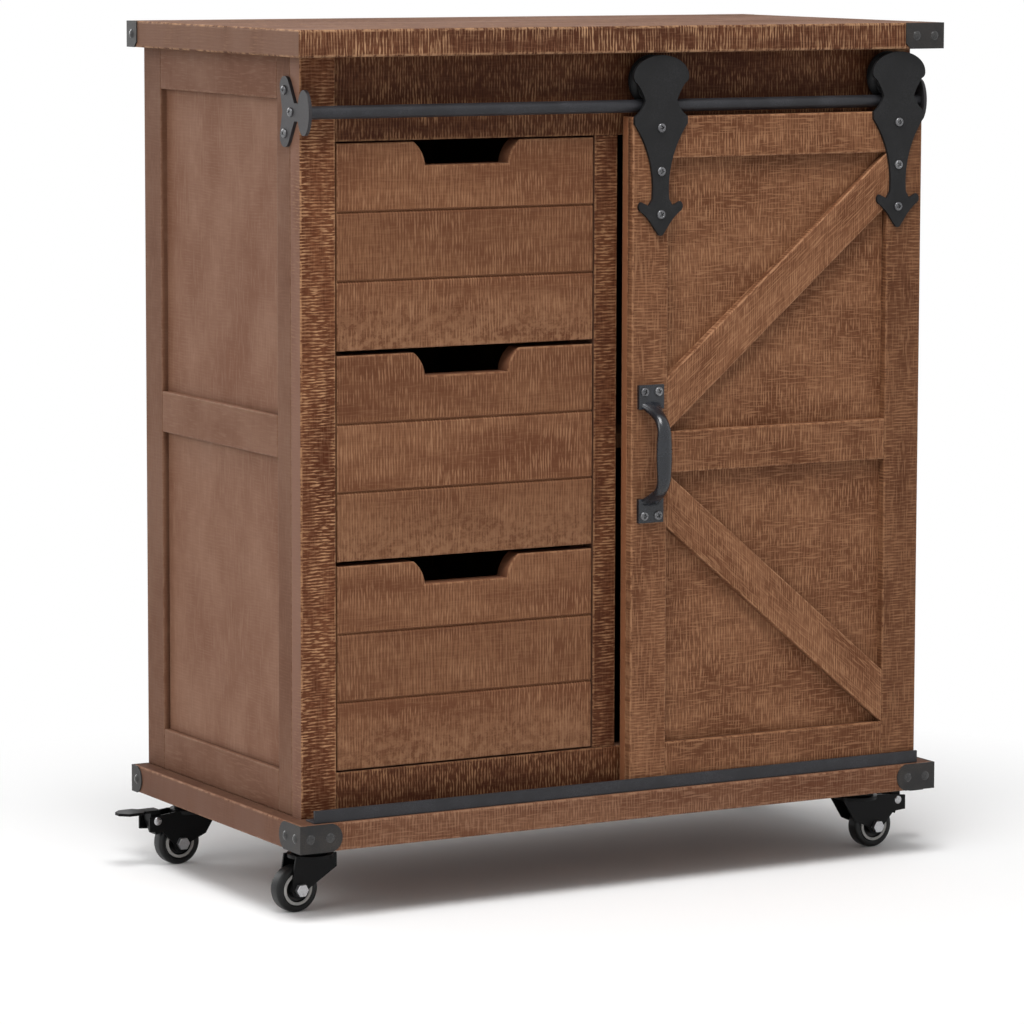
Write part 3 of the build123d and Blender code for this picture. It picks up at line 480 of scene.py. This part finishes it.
for joint in frame["record"]["behaviour"]["joints"]:
    if joint["name"].endswith("wheel_spin"):
        wheel, centre, axis = joint["child"], joint["pos_m"], joint["axis"]
        profiles = {
            "tread": ([tread_profile], tread_rubber),
            "core": ([core_profile], core_plastic),
            "rings": ([ring_profile, ring_profile * (-1, 1)], ring_grey),
        }
        for part, (outlines, finish) in profiles.items():
            rounds = [turned(outline, centre, axis) for outline in outlines]
            mesh = surface_mesh(f"{wheel}_{part}", rounds, 30)
            place_piece(f"{wheel}_{part}", mesh, finish, "tyre_black", wheel, wheel)

# Carcass sides: a board with thinner stiles and rails glued on, which leave two sunk fields.
# The wood is painted lighter and a little greyer than the front's as a painted sheen, and looks smooth.

side_wood = stained_wood(
    "side_wood",
    dark=(117, 80, 61),
    body=(133, 97, 77),
    pale=(150, 118, 98),
    smooth=(128, 95, 79),
    relief=0.18,
    Saw=0.2,
    Stroke=60,
    Cloud=(9, 12, 3),
    Hatch=0.3,
    Wear=0.45,
)
front_strip, back_strip, side_rail, joint_line = 0.025, 0.034, 0.036, 0.0002
side_strip_tone, side_rail_tone = 0.67, 0.8
for side, name in ((-1, "left"), (1, "right")):
    low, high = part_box(f"{name}_side_panel")
    face, back = (low[0], high[0]) if side < 0 else (high[0], low[0])
    field = board(rectangle(low, high, 2, 1), face, back, axis=0, seed=0.47 + side * 0.11)
    wooden_piece(f"{name}_side_board", [field], side_wood, "side_wood", "cabinet", f"{name}_side_panel")
    low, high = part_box(f"{name}_side_frame")
    face, back = (low[0], high[0]) if side < 0 else (high[0], low[0])
    front_edge, back_edge = low[1] + front_strip, high[1] - back_strip
    middle = (low[2] + high[2] - side_rail) / 2
    strips = []
    for number, (start, end) in enumerate(((low[1], front_edge), (back_edge, high[1]))):
        corners = [(start, low[2]), (start, high[2]), (end, high[2]), (end, low[2])]
        seed = 0.61 + 0.13 * number + 0.05 * side
        strips.append(board(corners, face, back, 0, seed, applied=True, tone=side_strip_tone))
    start, end = front_edge + joint_line, back_edge - joint_line
    for number, foot in enumerate((low[2], middle, high[2] - side_rail)):
        corners = [(start, foot), (end, foot), (end, foot + side_rail), (start, foot + side_rail)]
        seed = 0.87 + 0.17 * number + 0.05 * side
        strips.append(board(corners, face, back, 0, seed, applied=True, tone=side_rail_tone))
    wooden_piece(f"{name}_side_strips", strips, side_wood, "side_wood", "cabinet", f"{name}_side_frame")

# Carcass inside: back panel, partition, shelf on two cleats and drawer runners of plain dark wood.
# They are only seen with the door or a drawer open.

inner_wood = {
    order: stained_wood(
        f"inner_{order}",
        dark=(72, 45, 31),
        body=(97, 64, 44),
        pale=(122, 87, 64),
        smooth=(97, 64, 44),
        relief=0.2,
        order=order,
        Tone=1.0,
        Saw=0.2,
        Stroke=60,
        Cloud=(5, 22, 3),
        Hatch=0.2,
        Wear=0.0,
    )
    for order in ("zxy", "zyx", "xyz", "yzx", "xzy")
}
dress("back_panel", inner_wood["zxy"])
dress("partition", inner_wood["zyx"])
dress("shelf", inner_wood["xyz"])
dress("shelf_cleats", inner_wood["yzx"])
dress("drawer_runners", inner_wood["yzx"])

# Face frame: stiles and rails of rough-sawn wood with a dark stain, planed only where they meet.
# The saw has left pale strokes across each piece: level on the stiles and upright on the rails.

frame_wood = stained_wood(
    "frame_wood",
    dark=(76, 38, 19),
    body=(108, 65, 40),
    pale=(168, 127, 93),
    smooth=(124, 91, 75),
    relief=0.6,
    Saw=1.0,
    Stroke=115,
    Cloud=(5, 22, 3),
    Hatch=0.1,
    Wear=0.6,
)
low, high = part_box("front_stiles")
rail_low, rail_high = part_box("front_rails")
outer_stile, middle_stile = 0.033, (-0.0205, 0.002)
bay_low, bay_high = 0.123, 0.656
# The middle stile is darkened as painted shade; the rails' darker stain has painted shade in it too.
middle_stile_shade, frame_rail_stain_and_shade = 0.66, 0.62
posts = [
    (low[0], low[0] + outer_stile, low[2], high[2], 1.0),
    (*middle_stile, bay_low, bay_high, middle_stile_shade),
    (high[0] - outer_stile, high[0], low[2], high[2], 1.0),
]
stiles = []
for number, (start, end, foot, head, tone) in enumerate(posts):
    corners = [(start, foot), (start, head), (end, head), (end, foot)]
    stiles.append(board(corners, low[1], high[1], axis=1, seed=0.23 + 0.29 * number, tone=tone))
wooden_piece("frame_stiles", stiles, frame_wood, "frame_wood", "cabinet", "front_stiles")
rails = []
for number, (foot, head) in enumerate(((bay_high, rail_high[2]), (rail_low[2], bay_low))):
    corners = [(rail_low[0], foot), (rail_high[0], foot), (rail_high[0], head), (rail_low[0], head)]
    seed = 0.37 + 0.31 * number
    rails.append(board(corners, rail_low[1], rail_high[1], axis=1, seed=seed, tone=frame_rail_stain_and_shade))
wooden_piece("frame_rails", rails, frame_wood, "frame_wood", "cabinet", "front_rails")

# Top board: the same rough-sawn wood as the face frame, wide enough to cover sides and door gear.
# Its upper face is planed and rubbed paler than its edges.

top_wood = stained_wood(
    "top_wood",
    dark=(66, 33, 17),
    body=(98, 60, 39),
    pale=(166, 128, 96),
    smooth=(112, 81, 64),
    relief=0.6,
    Saw=0.95,
    Stroke=75,
    Cloud=(5, 22, 3),
    Hatch=0.1,
    Wear=0.7,
)
low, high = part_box("top_board")
plank = board(rectangle(low, high, 0, 1), high[2], low[2], axis=2, seed=0.73, ease=slab_ease, slab=True)
wooden_piece("top_slab", [plank], top_wood, "frame_wood", "cabinet", "top_board")

# Corner caps: folded sheet-steel angles, powder coated and held by domed rivets.
# They wrap the board corners; the top board's front left corner has none.

cap_edge = 0.0003
cap_iron = coat("cap_iron", (37, 36, 36), (78, 70, 64), gloss=0.45, relief=0.25, specular=0.25)
rivet_iron = coat("rivet_iron", (34, 33, 33), (62, 60, 58), gloss=0.26, specular=0.5)
dress("corner_caps", cap_iron, cap_edge)
dress("cap_rivets", rivet_iron)

# Drawers: fronts of solid wood with two V grooves that part them into planks, and a scooped grip.
# The boxes behind them are plain boards.

scoop_floor_half, scoop_lip, scoop_depth = 0.040, 0.011, 0.020
groove_half, groove_deep, groove_shade_width = 0.0018, 0.0020, 0.0030
back_run, plank_step = 0.1, 0.17


def scoop_line(low, high):
    """Upper edge of a drawer front: places, heights, ways into the wood, even places, drop of the ends.

    The left half runs level from the rounded end to the mouth, down a lip that is a circle's arc
    through three points, and along the scoop's floor to the middle. The right half mirrors it.
    Even places are the same columns spread evenly from the end to the middle. Both ends of the face
    drop back by a quarter circle.
    """
    middle = (low[0] + high[0]) / 2
    mouth, floor = scoop_floor_half + scoop_lip, scoop_floor_half
    arc = np.array([(-mouth, 0), (-floor - scoop_lip / 4, -scoop_depth / 2), (-floor, -scoop_depth)])
    centre = np.linalg.solve(2 * (arc[1:] - arc[0]), (arc[1:] ** 2).sum(1) - (arc[0] ** 2).sum())
    start, end = np.arctan2(*(arc[[0, 2]] - centre).T[::-1])
    angle = np.linspace(start, end, 12)
    reach = np.hypot(*(arc[0] - centre))
    lip = centre + reach * np.stack([np.cos(angle), np.sin(angle)], -1)
    end_places = low[0] - middle + np.append(eased * (1 - np.cos(ease_turn)), eased + worn)
    run = np.concatenate([end_places, np.linspace(end_places[-1], -mouth, 9)[1:-1]])
    bottom = np.linspace(-floor, 0, 15)[1:]
    x = np.concatenate([run, lip[:, 0], bottom])
    z = np.concatenate([0 * run, lip[:, 1], 0 * bottom - scoop_depth])
    into = np.concatenate(
        [np.tile((0, -1), (len(run), 1)), (centre - lip) / reach, np.tile((0, -1), (len(bottom), 1))]
    )
    into[len(run) + len(lip) - 1] = (-1, -1)
    even = np.append(end_places[:-1], np.linspace(end_places[-1], 0, len(x) - len(end_places) + 1))
    round_end = np.append(eased * (1 - np.sin(ease_turn)), np.zeros(len(x) - len(ease_turn)))
    x, even = [middle + np.append(part, -part[-2::-1]) for part in (x, even)]
    z, round_end = [np.append(part, part[-2::-1]) for part in (z, round_end)]
    into = np.concatenate([into, into[-2::-1] * (-1, 1)])
    return x, high[2] + z, into, even, round_end


def drawer_front(low, high, seed):
    """Drawer front as rows carried round its section, from its underside over the face to the back.

    Rows run up the face through the V grooves, over the scooped upper edge and down the back. Above
    the last groove each column leans to its place on the scoop's line. Planks differ in grain and tone.
    """
    face, back = low[1], high[1]
    x, top, into, even, round_end = scoop_line(low, high)
    rows = []

    def row(place_x, depth, place_z, edge, plank, run, planed=0):
        """One row from end to end: its places, edge wear, plank, run of the grain and planing."""
        values = np.broadcast_arrays(place_x, face + depth, place_z, edge, plank, run, planed)
        rows.append(np.stack(values, -1))

    worn_ends = (round_end > 0) * 1.0
    row(even, back - face, low[2], 0, 0, low[2] + face - back, 1)
    row(even, eased + worn, low[2], 0, 0, low[2] - eased - worn, 1)
    for angle in ease_turn:
        drop = np.minimum(eased, eased * (1 - np.sin(angle)) + round_end)
        rise = eased * (1 - np.cos(angle))
        row(even, drop, low[2] + rise, 1, 0, low[2] + rise)
    # Rows round each groove carry negative edge values: painted shade, darkest at the groove's bottom.
    steps = np.array([-groove_half - groove_shade_width, -groove_half, 0, groove_half, groove_half + groove_shade_width])
    for plank in (0, 1):
        line = low[2] + (plank + 1) / 3 * (high[2] - low[2])
        for step, deep, edge in zip(steps, (0, 0, groove_deep, 0, 0), (0, -0.3, -0.9, -0.2, 0)):
            rise = line + step
            depth = np.maximum(deep, round_end)
            row(even, depth, rise, np.maximum(edge, worn_ends), plank + (step > 0), rise)
    start = rows[-1][:, 2]
    inset = eased + worn
    for share in (0.5, 0.85, 1):
        place_x = even + share * (x + inset * into[:, 0] - even)
        place_z = start + share * (top + inset * into[:, 1] - start)
        row(place_x, round_end, place_z, worn_ends, 2, place_z)
    for angle in ease_turn[::-1]:
        inset = eased * (1 - np.cos(angle))
        drop = np.minimum(eased, eased * (1 - np.sin(angle)) + round_end)
        row(x + inset * into[:, 0], drop, top + inset * into[:, 1], 1, 2, top)
    row(x, eased + worn, top, 0, 2, top + eased + worn, 1)
    row(x, back - face, top, 0, 2, top + back - face, 1)
    row(even, back - face, high[2] - (high[2] - low[2]) / 3, 0, 2, high[2] + back_run, 1)
    row(even, back - face, low[2], 0, 2, high[2] + 2 * back_run, 1)
    grid = np.array(rows)
    numbers = np.arange(grid[..., 0].size).reshape(grid.shape[:2])
    seeds = seed + plank_step * grid[..., 4]
    grain = np.stack([grid[..., 0], grid[..., 5], 0 * seeds], -1) + seeds[..., None] * grain_shift
    return {
        "points": grid[..., :3].reshape(-1, 3),
        "quads": [*grid_quads(*grid.shape[:2]), numbers[:-1, 0], numbers[-2::-1, -1]],
        "grain": grain.reshape(-1, 3),
        "edge": grid[..., 3].ravel(),
        "planed": grid[..., 6].ravel(),
        "tone": board_tone(seeds).ravel(),
    }


drawer_wood = stained_wood(
    "drawer_wood",
    dark=(94, 57, 36),
    body=(118, 80, 55),
    pale=(146, 107, 79),
    smooth=(112, 74, 54),
    relief=0.45,
    Saw=0.75,
    Stroke=70,
    Cloud=(6, 20, 3),
    Hatch=0.15,
    Wear=0.6,
)
for number, name in enumerate(("top", "middle", "bottom")):
    body, node = f"{name}_drawer", f"{name}_drawer_front"
    planks = drawer_front(*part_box(node), seed=0.19 + 0.23 * number)
    wooden_piece(f"{name}_drawer_planks", [planks], drawer_wood, "drawer_wood", body, node)
    dress(f"{name}_drawer_sides", inner_wood["yzx"])
    dress(f"{name}_drawer_back", inner_wood["xzy"])
    dress(f"{name}_drawer_bottom", inner_wood["xyz"])

# Sliding door: a back board with stiles, rails and two braces glued on, all of the same wood.
# It is sawn both ways and wiped, so that fine strokes cross each other on it.

door_wood = stained_wood(
    "door_wood",
    dark=(90, 54, 33),
    body=(118, 79, 54),
    pale=(153, 112, 82),
    smooth=(128, 82, 55),
    relief=0.45,
    Saw=0.75,
    Stroke=85,
    Cloud=(15, 22, 3),
    Hatch=0.55,
    Wear=0.75,
)
low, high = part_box("door_board")
field = board(rectangle(low, high, 0, 2), low[1], high[1], axis=1, seed=0.57)
wooden_piece("door_panel", [field], door_wood, "door_wood", "door", "door_board")
strip = 0.036
# The right post is darkened as painted shade, where the light falls off to the right.
left_tone, right_post_shade, brace_tones = 1.06, 0.78, (1.22, 1.1)
face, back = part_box("door_left_stile")[0][1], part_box("door_left_stile")[1][1]
left, right = low[0] + strip, high[0] - strip
posts = (("left", low[0], left, left_tone), ("right", right, high[0], right_post_shade))
for number, (name, start, end, tone) in enumerate(posts):
    corners = [(start, low[2]), (start, high[2]), (end, high[2]), (end, low[2])]
    post = board(corners, face, back, axis=1, seed=0.33 + 0.21 * number, applied=True, tone=tone)
    wooden_piece(f"door_{name}_post", [post], door_wood, "door_wood", "door", f"door_{name}_stile")
feet = np.array([low[2], (low[2] + high[2] - strip) / 2, high[2] - strip])
strips = []
for number, foot in enumerate(feet):
    corners = [(left, foot), (right, foot), (right, foot + strip), (left, foot + strip)]
    strips.append(board(corners, face, back, axis=1, seed=0.77 + 0.19 * number, applied=True))
wooden_piece("door_crosspieces", strips, door_wood, "door_wood", "door", "door_rails")
rise = feet[2] - feet[1] - strip
cut = strip
# A brace's ends are cut upright: their height follows from its slope, and its slope from their height.
for _ in range(20):
    cut = strip * np.hypot(right - left, rise - cut) / (right - left)
upper, lower = feet[1] + strip, feet[0] + strip
braces = [
    [(left, upper), (right, feet[2] - cut), (right, feet[2]), (left, upper + cut)],
    [(left, feet[1] - cut), (right, lower), (right, lower + cut), (left, feet[1])],
]
strips = []
for number, (ends, tone) in enumerate(zip(braces, brace_tones)):
    seed = 0.41 + 0.27 * number
    strips.append(board(ends, face, back, axis=1, seed=seed, applied=True, tone=tone))
wooden_piece("door_diagonals", strips, door_wood, "door_wood", "door", "door_braces")

# Door gear: a round steel rail on lobed side brackets, arrow straps with grooved rollers, a cast pull
# and an angle that guides the door's foot. All are powder coated charcoal.

plate_edge = 0.0006
charcoal = coat("charcoal_coat", (24, 24, 25), (44, 44, 45), gloss=0.48, relief=0.18, specular=0.22)
rail_coat = coat("rail_coat", (40, 40, 43), (66, 66, 71), gloss=0.38, specular=0.25)
bracket_coat = coat("bracket_coat", (43, 41, 43), (76, 71, 71), gloss=0.4, relief=0.18, specular=0.25)
pull_enamel = coat("pull_enamel", (25, 27, 32), (48, 50, 56), gloss=0.27, relief=0.1, specular=0.5)
for node in ("left_hanger_strap", "right_hanger_strap"):
    dress(node, charcoal, plate_edge)
for node in ("left_roller", "right_roller", "roller_studs"):
    dress(node, charcoal)
dress("rail_brackets", bracket_coat, plate_edge)
dress("door_handle", pull_enamel)
dress("floor_guide", rail_coat, sheet_edge)
dress("hanging_rail", rail_coat)

# Screws: pan heads with a cross recess, of blackened steel.
# They hold the straps and the pull on the door and the brackets on the sides.


head_rim, cross_depth = 0.35, 0.75


def screw_head(centre, out, turn, radius=0.0040, height=0.0020):
    """Pan head: a disc on polar rings whose height is a low dome less a cross-shaped recess.

    The last two rings are the rim's foot and the middle of the flat underside.
    """
    side = np.cross((0, 0, 1), out)
    rings = np.append(np.linspace(0, 1, 16), [1.0, 0.0])
    r, a = np.meshgrid(rings, np.linspace(0, 2 * pi, 49), indexing="ij")
    x, y = r * np.cos(a), r * np.sin(a)
    near, far = np.minimum(abs(x), abs(y)), np.maximum(abs(x), abs(y))
    recess = np.clip((0.16 - near) / 0.05, 0, 1) * np.clip((0.55 - far) / 0.12, 0, 1)
    tall = height * (head_rim + (1 - head_rim) * np.sqrt(1 - r**4) - cross_depth * recess)
    tall[-2:] = 0
    across = radius * (x * np.cos(turn) - y * np.sin(turn))
    rise = radius * (x * np.sin(turn) + y * np.cos(turn))
    points = centre + across[..., None] * side + rise[..., None] * (0, 0, 1) + tall[..., None] * np.array(out)
    return points.reshape(-1, 3), grid_quads(*r.shape)


screw_steel = coat("screw_steel", (92, 92, 94), (165, 165, 166), gloss=0.26, metallic=0.7, specular=0.5)
strap_screws = (0.6625, 0.625, 0.588)
pull_screw_x, pull_screw_z, pull_plate = 0.007, 0.054, 0.0035
leaf_screws = ((0.011, 0), (0.0225, 0.018), (0.0225, -0.018))
heads = []
for name in ("left", "right"):
    low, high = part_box(f"{name}_hanger_strap")
    for z in strap_screws:
        place = ((low[0] + high[0]) / 2, low[1], z)
        heads.append(screw_head(place, (0, -1, 0), 0.4 + 0.9 * len(heads)))
low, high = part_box("door_handle")
middle = (low + high) / 2
for x, z in ((-1, -1), (1, -1), (-1, 1), (1, 1)):
    place = (middle[0] + pull_screw_x * x, high[1] - pull_plate, middle[2] + pull_screw_z * z)
    heads.append(screw_head(place, (0, -1, 0), 0.3 + 0.7 * len(heads)))
mesh = surface_mesh("door_screw_heads", heads)
place_piece("door_screw_heads", mesh, screw_steel, "dark_fasteners", "door", "door_screws")
low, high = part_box("rail_brackets")
face_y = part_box("front_stiles")[0][1]
rail_z = (low[2] + high[2]) / 2
heads = []
for side, outer in ((-1, low[0]), (1, high[0])):
    for setback, z in leaf_screws:
        place = (outer, face_y + setback, rail_z + z)
        heads.append(screw_head(place, (side, 0, 0), 0.5 + len(heads)))
mesh = surface_mesh("bracket_screw_heads", heads)
place_piece("bracket_screw_heads", mesh, screw_steel, "dark_fasteners", "cabinet", "bracket_screws")

# Studio: a pale floor that sweeps up behind the cabinet, soft lamps above, to the left and behind, and
# even light from all round. Past the cabinet's shadow the paper is seen as plain white.

scene = bpy.context.scene
scene.view_settings.view_transform = "Standard"
paper_left, paper_right, paper_front, paper_top = -14.0, 22.0, -9.0, 14.0
bend_start, bend = 8.0, 3.0
turn = np.linspace(0, pi / 2, 24)
sweep_y = np.concatenate([[paper_front], bend_start + bend * np.sin(turn), [bend_start + bend]])
sweep_z = np.concatenate([[0.0], bend - bend * np.cos(turn), [paper_top]])
points = np.stack(np.broadcast_arrays(np.array([[paper_left], [paper_right]]), sweep_y, sweep_z), -1)
mesh = bpy.data.meshes.new("studio_sweep")
mesh.from_pydata(points.reshape(-1, 3), [], grid_quads(2, len(sweep_y)).tolist())
mesh.shade_smooth()
sweep = bpy.data.objects.new("studio_sweep", mesh)
scene.collection.objects.link(sweep)


def seen_rays(tree):
    """1 for rays that show the studio itself, straight, in a reflection or through glass."""
    rays = add(tree, "ShaderNodeLightPath").outputs
    mirrored = maths(tree, "MAXIMUM", rays["Is Glossy Ray"], rays["Is Transmission Ray"])
    return maths(tree, "MAXIMUM", rays["Is Camera Ray"], mirrored)


paper = bpy.data.materials.new("studio_paper")
paper.use_nodes = True
tree = paper.node_tree
surface = tree.nodes["Principled BSDF"]
surface.inputs["Base Color"].default_value = (0.92, 0.92, 0.92, 1)
surface.inputs["Roughness"].default_value = 0.9
surface.inputs["Specular IOR Level"].default_value = 0.1
place = add(tree, "ShaderNodeTexCoord").outputs["Object"]
distance = add(tree, "ShaderNodeVectorMath", {"operation": "LENGTH"}, i0=place).outputs["Value"]
shadow_end, white_from = 0.3, 0.8
clear = maths(tree, "MULTIPLY", seen_rays(tree), spread(tree, distance, shadow_end, white_from))
white = add(tree, "ShaderNodeEmission", None, Color=(1, 1, 1, 1), Strength=1.0)
mixed = add(tree, "ShaderNodeMixShader", None, i0=clear, i1=surface.outputs[0], i2=white.outputs[0])
tree.links.new(mixed.outputs[0], tree.nodes["Material Output"].inputs["Surface"])
mesh.materials.append(paper)

world = bpy.data.worlds.new("studio_world")
scene.world = world
world.use_nodes = True
tree = world.node_tree
sky = tree.nodes["Background"].inputs
sky["Color"].default_value = (1, 1, 1, 1)
even_light, plain_white = 0.42, 1.0
tree.links.new(spread(tree, seen_rays(tree), 0, 1, even_light, plain_white), sky["Strength"])


def soft_lamp(name, place, target, size, power):
    """Square area lamp that looks at a target."""
    lamp = bpy.data.lights.new(name, "AREA")
    lamp.size = size
    lamp.energy = power
    stand = bpy.data.objects.new(name, lamp)
    scene.collection.objects.link(stand)
    way = np.array(target) - place
    stand.location = place
    tilt = np.arctan2(way[2], np.hypot(way[0], way[1])) + pi / 2
    stand.rotation_euler = (tilt, 0, -np.arctan2(way[0], way[1]))


cabinet_middle = (0, 0, 0.35)
soft_lamp("lamp_above", (-0.6, -1.25, 3.1), cabinet_middle, size=1.4, power=80)
soft_lamp("lamp_left", (-3.4, -0.9, 2.4), cabinet_middle, size=2.0, power=35)
soft_lamp("lamp_behind", (-1.2, 3.2, 1.7), cabinet_middle, size=2.0, power=36)

# Camera: at the photograph's place, a little above the cabinet's top and to its left.
# Its focus and axis are given in the photograph's pixels, and its turns in radians.

photo_size, photo_focus, photo_axis = 1024, 4785.25, (540, 470)
camera_pan, camera_tilt, camera_roll = -0.5175, pi / 2 - 0.1186, 0.0032
camera_place = (-2.0946, -3.6786, 0.8566)
camera = bpy.data.cameras.new("camera")
camera.sensor_width = 36.0
camera.lens = photo_focus * camera.sensor_width / photo_size
camera.shift_x = 0.5 - photo_axis[0] / photo_size
camera.shift_y = photo_axis[1] / photo_size - 0.5
camera.clip_end = 60
tripod = bpy.data.objects.new("camera", camera)
scene.collection.objects.link(tripod)
pan = Matrix.Rotation(camera_pan, 3, "Z")
tilt = Matrix.Rotation(camera_tilt, 3, "X")
roll = Matrix.Rotation(camera_roll, 3, "Z")
tripod.location = camera_place
tripod.rotation_euler = (pan @ tilt @ roll).to_euler()
scene.camera = tripod
